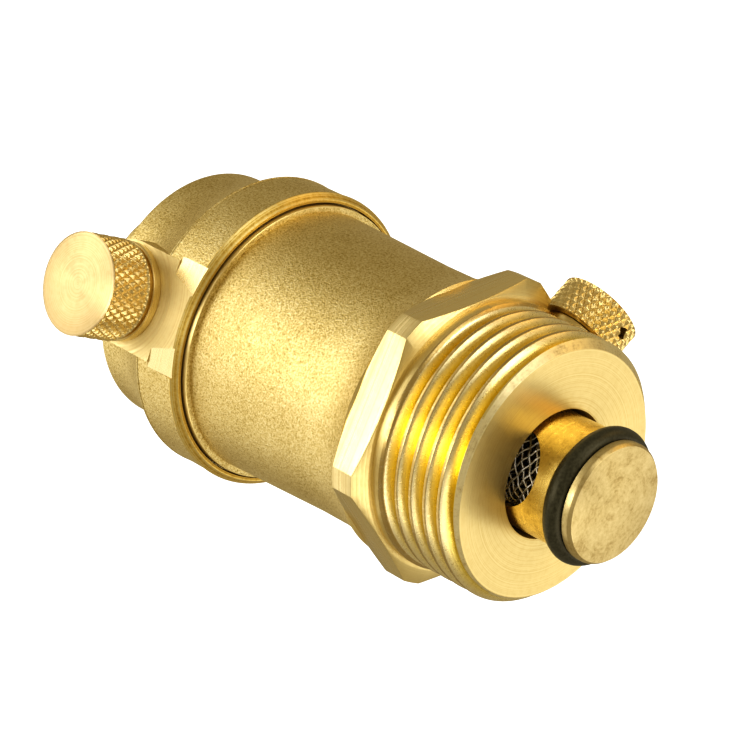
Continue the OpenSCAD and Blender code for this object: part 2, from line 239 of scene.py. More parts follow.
def shade(obj, sharp):
    """Shades an object smooth, apart from the edges that turn by more than the sharp angle in degrees."""
    obj.data.polygons.foreach_set("use_smooth", [True] * len(obj.data.polygons))
    obj.data.set_sharp_from_angle(angle=math.radians(sharp))
    obj.data.update()


def revolve(bm, profile, segments=192, closed=True):
    """Adds the surface made by turning (radius, height) pairs about Z.

    A point on the axis becomes one vertex.
    """
    rings = []
    for r, z in profile:
        if r < 1e-6:
            rings.append([bm.verts.new((0, 0, z))])
            continue
        rings.append([
            bm.verts.new((r * math.cos(TAU * i / segments), r * math.sin(TAU * i / segments), z))
            for i in range(segments)
        ])
    pairs = list(zip(rings, rings[1:]))
    if closed:
        pairs.append((rings[-1], rings[0]))
    for low, high in pairs:
        if len(low) == 1 and len(high) == 1:
            continue
        for i in range(segments):
            k = (i + 1) % segments
            if len(low) == 1:
                bm.faces.new((low[0], high[k], high[i]))
            elif len(high) == 1:
                bm.faces.new((low[i], low[k], high[0]))
            else:
                bm.faces.new((low[i], low[k], high[k], high[i]))


def lathe(name, profile, segments=192, sharp=35):
    """A turned solid about Z from a closed profile, or from one whose ends lie on the axis."""
    bm = bmesh.new()
    revolve(bm, profile, segments, closed=profile[0][0] > 1e-6 or profile[-1][0] > 1e-6)
    return finish_mesh(bm, name, sharp)


def cylinder(r, low, high):
    """The profile of a plain cylinder, for cutting."""
    return [(0, low), (r, low), (r, high), (0, high)]


def block(name, low, high):
    """A box, for cutting."""
    bm = bmesh.new()
    bmesh.ops.create_cube(bm, size=1)
    size = [h - l for l, h in zip(low, high)]
    middle = [(h + l) / 2 for l, h in zip(low, high)]
    bmesh.ops.scale(bm, vec=size, verts=bm.verts)
    bmesh.ops.translate(bm, vec=middle, verts=bm.verts)
    return finish_mesh(bm, name)


def prism(name, outline, y0, y1):
    """An outline of (x, z) pairs swept along Y."""
    bm = bmesh.new()
    front = [bm.verts.new((x, y0, z)) for x, z in outline]
    back = [bm.verts.new((x, y1, z)) for x, z in outline]
    bm.faces.new(front)
    bm.faces.new(back[::-1])
    for i in range(len(outline)):
        k = (i + 1) % len(outline)
        bm.faces.new((front[i], back[i], back[k], front[k]))
    return finish_mesh(bm, name)


def on_vent_axis(obj):
    """Moves a part drawn about Z onto the vent valve's axis.

    Its z becomes the distance from the main axis.
    """
    turn = Matrix.Translation((0, 0, VENT_Z * MM)) @ Matrix.Rotation(math.pi / 2, 4, "X")
    obj.data.transform(turn)
    return obj


def on_bleed_axis(obj):
    """Moves a part drawn about Z onto the bleed valve's axis, as on_vent_axis does."""
    turn = (
        Matrix.Rotation(math.radians(BLEED_ANGLE), 4, "Z")
        @ Matrix.Translation((0, 0, BLEED_Z * MM))
        @ Matrix.Rotation(math.pi / 2, 4, "Y")
    )
    obj.data.transform(turn)
    return obj


def combine(obj, tool, operation):
    """Applies an exact boolean with a tool object, and removes the tool."""
    modifier = obj.modifiers.new("cut", "BOOLEAN")
    modifier.operation = operation
    modifier.solver = "EXACT"
    modifier.object = tool
    depsgraph = bpy.context.evaluated_depsgraph_get()
    mesh = bpy.data.meshes.new_from_object(obj.evaluated_get(depsgraph))
    obj.modifiers.clear()
    old = obj.data
    obj.data = mesh
    bpy.data.meshes.remove(old)
    bpy.data.objects.remove(tool)


# ---------------------------------------------------------------- materials


class Nodes:
    """A small helper that writes one procedural material."""

    def __init__(self, name):
        self.material = bpy.data.materials.new(name)
        self.material.use_nodes = True
        self.tree = self.material.node_tree
        self.bsdf = self.tree.nodes["Principled BSDF"]
        self.coords = self.add("ShaderNodeTexCoord").outputs["Object"]

    def add(self, kind, **settings):
        node = self.tree.nodes.new(kind)
        for key, value in settings.items():
            setattr(node, key, value)
        return node

    def link(self, source, target):
        self.tree.links.new(source, target)

    def drive(self, **sources):
        """Links sources to the shader's sockets. An underscore stands for a space."""
        for key, source in sources.items():
            self.link(source, self.bsdf.inputs[key.replace("_", " ")])

    def set(self, **values):
        """Sets the shader's own sockets. An underscore stands for a space."""
        for key, value in values.items():
            self.bsdf.inputs[key.replace("_", " ")].default_value = value

    def value(self, node, socket, source):
        """Gives a node's socket a constant or a link."""
        if isinstance(source, (int, float)):
            node.inputs[socket].default_value = source
        else:
            self.link(source, node.inputs[socket])

    def math(self, operation, a, b):
        node = self.add("ShaderNodeMath", operation=operation)
        self.value(node, 0, a)
        self.value(node, 1, b)
        return node.outputs[0]

    def weigh(self, *parts):
        """The sum of (source, weight) pairs."""
        total, *rest = [self.math("MULTIPLY", source, weight) for source, weight in parts]
        for part in rest:
            total = self.math("ADD", total, part)
        return total

    def noise(self, size_mm, detail=2.0, roughness=0.5):
        node = self.add("ShaderNodeTexNoise")
        node.inputs["Scale"].default_value = 1 / (size_mm * MM)
        node.inputs["Detail"].default_value = detail
        node.inputs["Roughness"].default_value = roughness
        self.link(self.coords, node.inputs["Vector"])
        return node.outputs["Fac"]

    def ramp(self, source, stops):
        """stops are (position, colour) pairs."""
        node = self.add("ShaderNodeValToRGB")
        elements = node.color_ramp.elements
        while len(elements) < len(stops):
            elements.new(0.5)
        for element, (position, colour) in zip(elements, stops):
            element.position = position
            element.color = (*colour, 1)
        self.link(source, node.inputs["Fac"])
        return node.outputs["Color"]

    def span(self, source, low, high, out_low, out_high):
        """Maps low..high to out_low..out_high."""
        node = self.add("ShaderNodeMapRange")
        self.link(source, node.inputs["Value"])
        limits = {"From Min": low, "From Max": high, "To Min": out_low, "To Max": out_high}
        for key, number in limits.items():
            node.inputs[key].default_value = number
        return node.outputs["Result"]

    def bump(self, height, depth_mm):
        node = self.add("ShaderNodeBump")
        node.inputs["Strength"].default_value = 1.0
        node.inputs["Distance"].default_value = depth_mm * MM
        self.link(height, node.inputs["Height"])
        return node.outputs["Normal"]

    def vector(self, operation, a, b=None, output="Vector"):
        """A vector node. a and b are sockets or constant triples."""
        node = self.add("ShaderNodeVectorMath", operation=operation)
        for socket, source in zip(node.inputs, (a, b)):
            if isinstance(source, (tuple, Vector)):
                socket.default_value = source
            elif source is not None:
                self.link(source, socket)
        return node.outputs[output]

    def lines(self, along, pitch_mm, detail=2.0):
        """Uneven lines across a distance, like the marks of a cutter's feed."""
        node = self.add("ShaderNodeTexNoise", noise_dimensions="1D")
        node.inputs["Scale"].default_value = 1 / (pitch_mm * MM)
        node.inputs["Detail"].default_value = detail
        self.link(along, node.inputs["W"])
        return node.outputs["Fac"]

    def around(self, axis, centre):
        """The direction that runs round an axis, as long as the distance from it."""
        return self.vector("CROSS_PRODUCT", axis, self.vector("SUBTRACT", self.coords, centre))

    def turn_tangent(self, around):
        """Spreads the gloss across the marks that a lathe leaves, which run round the axis."""
        world = self.add("ShaderNodeVectorTransform", vector_type="VECTOR")
        world.convert_from = "OBJECT"
        world.convert_to = "WORLD"
        self.link(around, world.inputs[0])
        normal = self.add("ShaderNodeNewGeometry").outputs["Normal"]
        self.link(self.vector("CROSS_PRODUCT", normal, world.outputs[0]), self.bsdf.inputs["Tangent"])


def blasted_brass():
    """Sand-blasted forging: a fine, sparkling grain, a little uneven in tone."""
    m = Nodes("blasted_brass")
    pits = m.noise(0.30, detail=2, roughness=0.6)
    speck = m.noise(0.19, detail=1)
    tone = m.noise(6, detail=3)
    grain = m.weigh((pits, 0.5), (speck, 0.5))
    mixed = m.weigh((grain, 0.86), (tone, 0.14))
    stops = [(0.35, (0.52, 0.38, 0.12)), (0.50, (0.79, 0.64, 0.29)), (0.65, (0.97, 0.84, 0.49))]
    rough = m.span(grain, 0.3, 0.7, 0.52, 0.38)
    m.drive(Base_Color=m.ramp(mixed, stops), Roughness=rough, Normal=m.bump(grain, 0.1))
    m.set(Metallic=1.0)
    return m.material


def tinted(base, *shades):
    """A colour with red, green and blue each scaled by its own shade."""
    return tuple(c * shade for c, shade in zip(base, shades))


def turned_brass(name, base, axis=UP, centre=ORIGIN, *, pitch_mm, depth_mm, roughness, flat=False):
    """Lathe-turned brass: uneven rings about an axis, with the gloss spread across them.

    On flats cut by a mill the marks are lines across the axis.
    """
    m = Nodes(name)
    around = m.around(axis, centre)
    m.turn_tangent(around)
    m.set(Metallic=1.0, Anisotropic=0.7)
    along = m.vector("DOT_PRODUCT", m.coords, axis, output="Value")
    if not flat:
        along = m.math("ADD", along, m.vector("LENGTH", around, output="Value"))
    marks = m.lines(along, pitch_mm, detail=1.0)
    uneven = m.noise(0.8, detail=4, roughness=0.65)
    mixed = m.weigh((marks, 0.6), (uneven, 0.4))
    stops = [(0.36, tinted(base, 0.92, 0.89, 0.81)), (0.5, tinted(base, 0.97, 0.96, 0.93)), (0.62, base)]
    rough = m.span(mixed, 0.35, 0.65, roughness * 1.25, roughness * 0.85)
    m.drive(Base_Color=m.ramp(mixed, stops), Roughness=rough, Normal=m.bump(mixed, depth_mm))
    return m.material


def thread_brass():
    """The thread: pale flanks, dull worn crests, and a painted deep yellow reflection in the roots."""
    m = Nodes("thread_brass")
    around = m.around(UP, ORIGIN)
    m.turn_tangent(around)
    m.set(Metallic=1.0, Anisotropic=0.5)
    radius = m.vector("LENGTH", around, output="Value")
    depth = m.span(radius, (THREAD_R - THREAD_DEPTH) * MM, THREAD_R * MM, 0.0, 1.0)
    burr = m.noise(0.5, detail=4, roughness=0.7)
    uneven = m.math("ADD", depth, m.math("MULTIPLY", m.math("SUBTRACT", burr, 0.5), 0.16))
    # The deep yellow at the roots is a painted reflection, standing in for light bounced between the flanks.
    stops = [
        (0.1, (0.96, 0.73, 0.12)), (0.55, (0.95, 0.78, 0.33)),
        (0.93, (0.96, 0.84, 0.52)), (1.0, (0.66, 0.49, 0.20)),
    ]
    relief = m.math("ADD", m.lines(radius, 0.16), m.math("MULTIPLY", burr, 0.4))
    rough = m.span(burr, 0.3, 0.7, 0.24, 0.36)
    m.drive(Base_Color=m.ramp(uneven, stops), Roughness=rough, Normal=m.bump(relief, 0.009))
    return m.material


def rim_brass():
    """The cap's rim: turning marks, deeper gold as painted warm reflection, and dark burrs along the inner
    edge.
    """
    m = Nodes("rim_brass")
    around = m.around(UP, ORIGIN)
    m.turn_tangent(around)
    m.set(Metallic=1.0, Anisotropic=0.6)
    radius = m.vector("LENGTH", around, output="Value")
    marks = m.lines(radius, 0.3)
    burr = m.noise(0.55, detail=4, roughness=0.75)
    edge = m.span(radius, RIM_IN_R * MM, (RIM_IN_R + RIM_LAND) * MM, 0.45, 0.0)
    mixed = m.math("SUBTRACT", m.weigh((marks, 0.6), (burr, 0.4)), m.math("MULTIPLY", edge, burr))
    # The deeper gold in these stops is a painted warm reflection; the marks and burrs are the metal's own.
    stops = [
        (0.26, (0.16, 0.09, 0.02)), (0.37, (0.62, 0.41, 0.09)),
        (0.47, (0.85, 0.63, 0.19)), (0.60, (0.96, 0.79, 0.37)),
    ]
    rough = m.span(mixed, 0.3, 0.6, 0.55, 0.36)
    m.drive(Base_Color=m.ramp(mixed, stops), Roughness=rough, Normal=m.bump(mixed, 0.03))
    return m.material


def worn_brass(name, base, roughness):
    """Turned brass that has been handled: faint rings, brown stains and small scratches."""
    m = Nodes(name)
    around = m.around(UP, ORIGIN)
    m.turn_tangent(around)
    m.set(Metallic=1.0, Anisotropic=0.4)
    height = m.vector("DOT_PRODUCT", m.coords, UP, output="Value")
    along = m.math("ADD", height, m.vector("LENGTH", around, output="Value"))
    marks = m.lines(along, 0.4)
    stain = m.noise(2.4, detail=6, roughness=0.7)
    scratch = m.noise(0.5, detail=4, roughness=0.7)
    mixed = m.weigh((marks, 0.12), (scratch, 0.33), (stain, 0.55))
    stops = [(0.38, tinted(base, 0.66, 0.60, 0.48)), (0.48, tinted(base, 0.88, 0.86, 0.80)), (0.60, base)]
    rough = m.span(mixed, 0.35, 0.6, roughness * 1.35, roughness * 0.9)
    m.drive(Base_Color=m.ramp(mixed, stops), Roughness=rough, Normal=m.bump(mixed, 0.02))
    return m.material


def rubber():
    """Black rubber with a fine speckle, and a warm tint in its shine."""
    m = Nodes("rubber")
    speck = m.noise(0.3, detail=4)
    stops = [(0.3, (0.016, 0.015, 0.008)), (0.8, (0.044, 0.040, 0.022))]
    rough = m.span(speck, 0.3, 0.7, 0.30, 0.42)
    m.drive(Base_Color=m.ramp(speck, stops), Roughness=rough, Normal=m.bump(speck, 0.01))
    m.set(Specular_Tint=(1.0, 0.88, 0.56, 1))
    return m.material


def steel(name, base, roughness):
    """Plain steel, a little uneven in tone and gloss."""
    m = Nodes(name)
    scratch = m.noise(0.5, detail=3)
    stops = [(0.3, tinted(base, 0.85, 0.85, 0.85)), (0.7, base)]
    rough = m.span(scratch, 0.3, 0.7, roughness * 0.8, roughness * 1.3)
    m.drive(Base_Color=m.ramp(scratch, stops), Roughness=rough)
    m.set(Metallic=1.0)
    return m.material


def moulded_plastic():
    """Pale plastic with a faint grain."""
    m = Nodes("moulded_plastic")
    grain = m.noise(0.6, detail=2)
    stops = [(0.3, (0.74, 0.73, 0.68)), (0.7, (0.80, 0.79, 0.74))]
    rough = m.span(grain, 0.3, 0.7, 0.4, 0.5)
    m.drive(Base_Color=m.ramp(grain, stops), Roughness=rough, Normal=m.bump(grain, 0.01))
    return m.material


VENT_OUT = (0, -1, 0)
VENT_CENTRE = (0, 0, VENT_Z * MM)
BLEED_OUT = (math.cos(math.radians(BLEED_ANGLE)), math.sin(math.radians(BLEED_ANGLE)), 0)
BLEED_CENTRE = (0, 0, BLEED_Z * MM)

BLASTED = blasted_brass()
THREAD = thread_brass()
RIM = rim_brass()
MACHINED = turned_brass("machined_brass", (0.90, 0.745, 0.37), pitch_mm=0.17, depth_mm=0.004, roughness=0.34)
MILLED = turned_brass(
    "milled_brass", (0.94, 0.79, 0.43), pitch_mm=0.3, depth_mm=0.01, roughness=0.3, flat=True
)
FACET = turned_brass(
    "facet_brass", (0.95, 0.82, 0.48), pitch_mm=0.2, depth_mm=0.001, roughness=0.24, flat=True
)
SPOT_FACE = turned_brass(
    "spot_faced_brass", (0.95, 0.82, 0.47), VENT_OUT, VENT_CENTRE,
    pitch_mm=0.36, depth_mm=0.012, roughness=0.46,
)
VENT_SKIN = turned_brass(
    "vent_knob_brass", (0.92, 0.75, 0.38), VENT_OUT, VENT_CENTRE,
    pitch_mm=0.2, depth_mm=0.003, roughness=0.3,
)
# The knob's end face is its own brass painted darker: painted shade that holds down the key light's glare.
VENT_FACE = turned_brass(
    "vent_face_brass", (0.70, 0.55, 0.30), VENT_OUT, VENT_CENTRE,
    pitch_mm=0.12, depth_mm=0.002, roughness=0.36,
)
BLEED_SKIN = turned_brass(
    "bleed_knob_brass", (0.90, 0.73, 0.36), BLEED_OUT, BLEED_CENTRE,
    pitch_mm=0.2, depth_mm=0.003, roughness=0.3,
)
CHAMFERED = worn_brass("chamfer_brass", (0.97, 0.86, 0.54), 0.42)
TUBE_SKIN = worn_brass("plunger_tube_brass", (0.93, 0.72, 0.25), 0.27)
PLUNGER_SKIN = worn_brass("plunger_brass", (0.80, 0.66, 0.35), 0.36)
RUBBER = rubber()
STEEL = steel("steel", (0.62, 0.61, 0.58), 0.28)
WIRE = steel("bright_wire", (0.96, 0.94, 0.90), 0.38)
PLASTIC = moulded_plastic()


def paint(obj, *materials):
    """Gives an object these materials. The first is on every face until paint_faces changes it."""
    obj.data.materials.clear()
    for material in materials:
        obj.data.materials.append(material)


def paint_faces(obj, material, test):
    """Gives another of the object's materials to the faces that pass the test.

    The test takes a face's centre, in millimetres, and its normal.
    """
    index = obj.data.materials.find(material.name)
    for face in obj.data.polygons:
        if test(face.center / MM, face.normal):
            face.material_index = index


def off_axis(p):
    """A point's distance from the vent's axis."""
    return math.hypot(p.x, p.y)


# ---------------------------------------------------------------- body

# One turn of the thread from crest to crest, as (part of the pitch, part of the depth). Crest and root
# are narrow lands with rounded corners.
THREAD_FORM = [
    (0.00, 0.00), (0.05, 0.00), (0.09, 0.02), (0.13, 0.09), (0.22, 0.35), (0.31, 0.62), (0.40, 0.89),
    (0.45, 0.98), (0.50, 1.00), (0.55, 0.98), (0.60, 0.89), (0.69, 0.62), (0.78, 0.35), (0.87, 0.09),
    (0.91, 0.02), (0.95, 0.00),
]
THREAD_SEGMENTS = 360
TURNS_BELOW = 3
TURNS_ABOVE = 2


def thread_depth_at(turn):
    """The part of the thread's depth that is cut away at a part of the pitch after a crest."""
    u = turn % 1.0
    form = THREAD_FORM + [(1.0, 0.0)]
    for (u0, d0), (u1, d1) in zip(form, form[1:]):
        if u <= u1:
            return d0 + (d1 - d0) * (u - u0) / (u1 - u0)
    return 0.0


def thread_radius(angle, z):
    """Radius of the threaded surface at an angle in turns and a height."""
    if z <= 0:
        return THREAD_R - CHAMFER
    crest = CREST_Z + THREAD_PITCH * (angle - CREST_ANGLE / 360)
    depth = THREAD_DEPTH * thread_depth_at((z - crest) / THREAD_PITCH)
    run_out = min(1.0, max(0.0, (COLLAR_Z - z) / THREAD_RUN_OUT))
    r = THREAD_R - depth * run_out
    r += (COLLAR_R - THREAD_R) * (1.0 - run_out)
    return min(r, THREAD_R - CHAMFER + z)


def threaded_surface(bm):
    """Adds the thread from the end face to the collar, on rows of points that follow the helix.

    Rows that start below the face or end above the collar are pressed flat there, and merged.
    """
    turns = math.ceil(COLLAR_Z / THREAD_PITCH) + TURNS_ABOVE
    rows = [
        CREST_Z - THREAD_PITCH * (CREST_ANGLE / 360 + TURNS_BELOW - k - u)
        for k in range(turns + TURNS_BELOW) for u, _ in THREAD_FORM
    ]
    grid = []
    for base in rows:
        row = []
        for i in range(THREAD_SEGMENTS + 1):
            angle = i / THREAD_SEGMENTS
            z = min(max(base + THREAD_PITCH * angle, 0.0), COLLAR_Z)
            r = thread_radius(angle, z)
            turn = TAU * angle
            row.append(bm.verts.new((r * math.cos(turn), r * math.sin(turn), z)))
        grid.append(row)
    for low, high in zip(grid, grid[1:]):
        for i in range(THREAD_SEGMENTS):
            bm.faces.new((low[i], low[i + 1], high[i + 1], high[i]))
    bmesh.ops.remove_doubles(bm, verts=bm.verts, dist=1e-5)
    bmesh.ops.dissolve_degenerate(bm, edges=bm.edges, dist=1e-6)


def body_profile():
    """From the collar's foot up the outside, down the inside and back out along the end face."""
    return (
        [(COLLAR_R, COLLAR_Z), (COLLAR_R, HEX_TOP - 0.6)]
        + arc(BARREL_R + FLARE_R, FLARE_Z, FLARE_R, FLARE_ANGLE, 180, 12)
        + [
            (BARREL_R, DRAFT_Z), (BARREL_TOP_R, BEAD_Z), (BEAD_R - BEAD_EDGE, BEAD_Z),
            (BEAD_R - 0.04, BEAD_Z + 0.04), (BEAD_R, BEAD_Z + BEAD_EDGE), (BEAD_R, BEAD_TOP),
            (CAP_THREAD_R, BEAD_TOP), (CAP_THREAD_R, BODY_TOP),
            (CHAMBER_R, BODY_TOP), (CHAMBER_R, CHAMBER_Z), (NECK_R, NECK_TOP),
            (NECK_R, SNAP_Z + SNAP_H), (SNAP_R, SNAP_Z + SNAP_H), (SNAP_R, SNAP_Z), (NECK_R, SNAP_Z),
            (NECK_R, NECK_Z), (BORE_R, NECK_Z),
            (BORE_R, BORE_EDGE), (BORE_R + 0.07, 0.07), (BORE_R + BORE_EDGE, 0),
            (THREAD_R - CHAMFER, 0),
        ]
    )


def hexagon():
    """The hexagon with its corners turned down, as in the CAD source, and with the bore left open."""
    profile = [
        (HEX_IN_R, HEX_Z), (HEX_HALF - 0.1, HEX_Z), (HEX_CORNER_R, HEX_Z + HEX_CORNER_DROP),
        (HEX_CORNER_R, HEX_TOP - HEX_CORNER_DROP), (HEX_HALF - 0.1, HEX_TOP), (HEX_IN_R, HEX_TOP),
    ]
    blank = lathe("hex_blank", profile, segments=384)
    bm = bmesh.new()
    corner = HEX_HALF / math.cos(math.radians(30))
    for k in range(6):
        a = math.radians(BLEED_ANGLE - 30 + 60 * k)
        bm.verts.new((corner * math.cos(a), corner * math.sin(a), HEX_Z - 1))
    face = bm.faces.new(bm.verts)
    top = bmesh.ops.extrude_face_region(bm, geom=[face])["geom"]
    lift = [v for v in top if isinstance(v, bmesh.types.BMVert)]
    bmesh.ops.translate(bm, vec=(0, 0, HEX_TOP - HEX_Z + 2), verts=lift)
    combine(blank, finish_mesh(bm, "hex_prism"), "INTERSECT")
    bevel = blank.modifiers.new("edge", "BEVEL")
    bevel.width = HEX_EDGE * MM
    bevel.segments = 2
    bevel.limit_method = "ANGLE"
    bevel.angle_limit = math.radians(15)
    bevel.harden_normals = False
    depsgraph = bpy.context.evaluated_depsgraph_get()
    mesh = bpy.data.meshes.new_from_object(blank.evaluated_get(depsgraph))
    blank.modifiers.clear()
    blank.data = mesh
    return blank


def make_body():
    """The forged body with its thread, hexagon, stepped bore and the bleed valve's pocket and drilling."""
    bm = bmesh.new()
    threaded_surface(bm)
    revolve(bm, body_profile(), THREAD_SEGMENTS, closed=False)
    bmesh.ops.remove_doubles(bm, verts=bm.verts, dist=1e-4)
    body = finish_mesh(bm, "body_forging", sharp=30)
    combine(body, hexagon(), "UNION")
    pocket = lathe("pocket", cylinder(BLEED_POCKET_R, BLEED_FLOOR, BLEED_FLOOR + 6), segments=128)
    combine(body, on_bleed_axis(pocket), "DIFFERENCE")
    stepped = [
        (0, BORE_R - 1), (BLEED_DRILL_R, BORE_R - 1), (BLEED_DRILL_R, BLEED_INNER),
        (BLEED_HOLE_R, BLEED_INNER), (BLEED_HOLE_R, BLEED_FLOOR + 1), (0, BLEED_FLOOR + 1),
    ]
    drilling = lathe("drilling", stepped, segments=64)
    combine(body, on_bleed_axis(drilling), "DIFFERENCE")
    shade(body, 30)
    paint(body, BLASTED, MACHINED, THREAD, MILLED, CHAMFERED)

    def machined(p, _):
        inside = off_axis(p) < BARREL_R - 0.5
        return p.z < HEX_TOP - 0.02 or p.z > BEAD_Z + 0.01 or inside

    def threaded(p, _):
        outside = off_axis(p) > THREAD_R - THREAD_DEPTH - 0.05
        return 0 < p.z < COLLAR_Z and outside

    def milled(p, n):
        outside = off_axis(p) > HEX_HALF - 0.05
        return HEX_Z < p.z < HEX_TOP and outside and abs(n.z) < 0.3

    def chamfered(p, _):
        return p.z > 0 and abs(off_axis(p) - (THREAD_R - CHAMFER + p.z)) < 0.03

    paint_faces(body, MACHINED, machined)
    paint_faces(body, THREAD, threaded)
    paint_faces(body, MILLED, milled)
    paint_faces(body, CHAMFERED, chamfered)
    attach(body, "housing")
    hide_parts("body")


# ---------------------------------------------------------------- cap


def cap_profile():
    """The cap's outside from its rim up to the top, and its inside from the ceiling down to the rim."""
    width = CAP_R - CROWN_R
    rise = CONCAVE_Z - SHOULDER_Z
    concave = (width * width + rise * rise) / (2 * width)
    sweep = math.degrees(math.asin(rise / concave))
    dome_edge = CROWN_R - CROWN_EDGE
    dome = (dome_edge ** 2 + DOME_H ** 2) / (2 * DOME_H)
    dome_a = math.degrees(math.asin(dome_edge / dome))
    lug_a = math.degrees(math.asin(LUG_R / dome))
    lug_foot = CROWN_TOP + DOME_H - dome + dome * math.cos(math.radians(lug_a))
    ridge = CAP_R + 0.1
    outside = (
        [
            (RIM_IN_R, RIM_Z), (RIM_IN_R + RIM_LAND, RIM_Z), (ridge, SKIRT_Z), (ridge, SKIRT_Z + 0.1),
            (CAP_R, SKIRT_Z + 0.2), (CAP_R, SHOULDER_Z - 0.4), (ridge, SHOULDER_Z - 0.25),
            (ridge, SHOULDER_Z - 0.15), (CAP_R - 0.14, SHOULDER_Z + 0.1),
        ]
        + arc(CROWN_R + concave, CONCAVE_Z, concave, 180 + sweep, 180, 14)[1:]
        + arc(dome_edge, CROWN_TOP - CROWN_EDGE, CROWN_EDGE, 0, 90, 5)
        + arc(0, CROWN_TOP + DOME_H - dome, dome, 90 - dome_a, 90 - lug_a, 10)[1:-1]
        + arc(LUG_R + LUG_EDGE, lug_foot + 0.55, LUG_EDGE, 265, 180, 4)
        + arc(LUG_R - LUG_EDGE, LUG_TOP - LUG_EDGE, LUG_EDGE, 0, 90, 5)
        + [(0, LUG_TOP)]
    )
    inside = [
        (0, CEILING_Z), (CAP_BORE_R, CEILING_Z), (CAP_BORE_R, LEDGE_Z),
        (CAP_IN_R, LEDGE_Z), (CAP_IN_R, CAP_IN_Z), (RIM_IN_R, CAP_IN_Z),
    ]
    return outside, inside


# The flat's lower corners, which the spot-facing cutter doesn't reach: (x, z) at the two ends of each
# one's inner edge, where it meets the flat, and how steeply it falls away outwards from there.
FACET_TOP = (4.8, 50.95)
FACET_FOOT = (3.3, 46.3)
FACET_SLOPE = 0.13
FACET_OUT = 0.6


def corner_cut(side):
    """A wedge that tilts a lower corner of the vent flat, and leaves a small step at its upper end."""
    (top_x, top_z), (foot_x, foot_z) = FACET_TOP, FACET_FOOT
    out = BOSS_HALF + FACET_OUT
    outline = [(foot_x, foot_z), (out, foot_z), (out, top_z), (top_x, top_z)]
    inner_x = {foot_z: foot_x, top_z: top_x}
    front = [(side * x, -VENT_FLAT - 1, z) for x, z in outline]
    back = [(side * x, -VENT_FLAT + FACET_SLOPE * (x - inner_x[z]), z) for x, z in outline]
    bm = bmesh.new()
    near = [bm.verts.new(p) for p in front]
    far = [bm.verts.new(p) for p in back]
    bm.faces.new(near)
    bm.faces.new(far)
    for i in range(len(outline)):
        k = (i + 1) % len(outline)
        bm.faces.new((near[i], far[i], far[k], near[k]))
    return finish_mesh(bm, "corner_cut")


def make_cap():
    """The forged cap with its flat boss, its hollow and the vent valve's hole."""
    outside, inside = cap_profile()
    bm = bmesh.new()
    revolve(bm, [(0, RIM_Z)] + outside, 384, closed=False)
    cap = finish_mesh(bm, "cap_forging", sharp=30)
    outline = [(-BOSS_HALF, SKIRT_Z), (BOSS_HALF, SKIRT_Z)] + arc(0, VENT_Z, BOSS_HALF, 0, 180, 48)
    combine(cap, prism("boss", outline, -VENT_FLAT, -BOSS_BACK), "UNION")
    flat = block("flat", (-BOSS_HALF, -CAP_R - 2, SKIRT_Z), (BOSS_HALF, -VENT_FLAT, VENT_Z + 7))
    combine(cap, flat, "DIFFERENCE")
    hollow = lathe("hollow", [(0, RIM_Z - 1), (RIM_IN_R, RIM_Z - 1)] + inside[::-1], segments=384)
    combine(cap, hollow, "DIFFERENCE")
    vent_hole = lathe("vent_hole", cylinder(VENT_HOLE_R, VENT_HOLE_IN, VENT_HOLE_OUT), segments=96)
    combine(cap, on_vent_axis(vent_hole), "DIFFERENCE")
    for side in (-1, 1):
        combine(cap, corner_cut(side), "DIFFERENCE")
    shade(cap, 5)
    paint(cap, BLASTED, MACHINED, SPOT_FACE, FACET, RIM)

    skirt = SKIRT_Z + 0.15

    def machined(p, _):
        r = off_axis(p)
        in_bore = r < CAP_BORE_R + 0.1 and p.z < CEILING_Z + 0.1
        in_thread = r < CAP_IN_R + 0.05 and p.z < LEDGE_Z + 0.1
        return p.z < skirt or in_bore or in_thread

    def on_flat(p, n):
        forward = p.y < -VENT_FLAT + 0.45 and n.y < -0.9
        return forward and p.z > skirt and abs(p.x) < BOSS_HALF + 0.05

    def on_facet(p, n):
        return on_flat(p, n) and abs(n.x) > 0.1

    def on_rim(p, _):
        return p.z < skirt and off_axis(p) > RIM_IN_R - 0.05

    paint_faces(cap, MACHINED, machined)
    paint_faces(cap, SPOT_FACE, on_flat)
    paint_faces(cap, FACET, on_facet)
    paint_faces(cap, RIM, on_rim)
    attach(cap, "housing")
    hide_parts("cap")


# ---------------------------------------------------------------- knobs

# The knurl's mesh: points round the knob for each groove, height of a row of points, and the plain
# edge at both ends. Crests are flattened by KNURL_CREST.
KNURL_STEPS = 12
KNURL_ROW = 0.09
KNURL_EDGE = 0.12
KNURL_CREST = 1.35


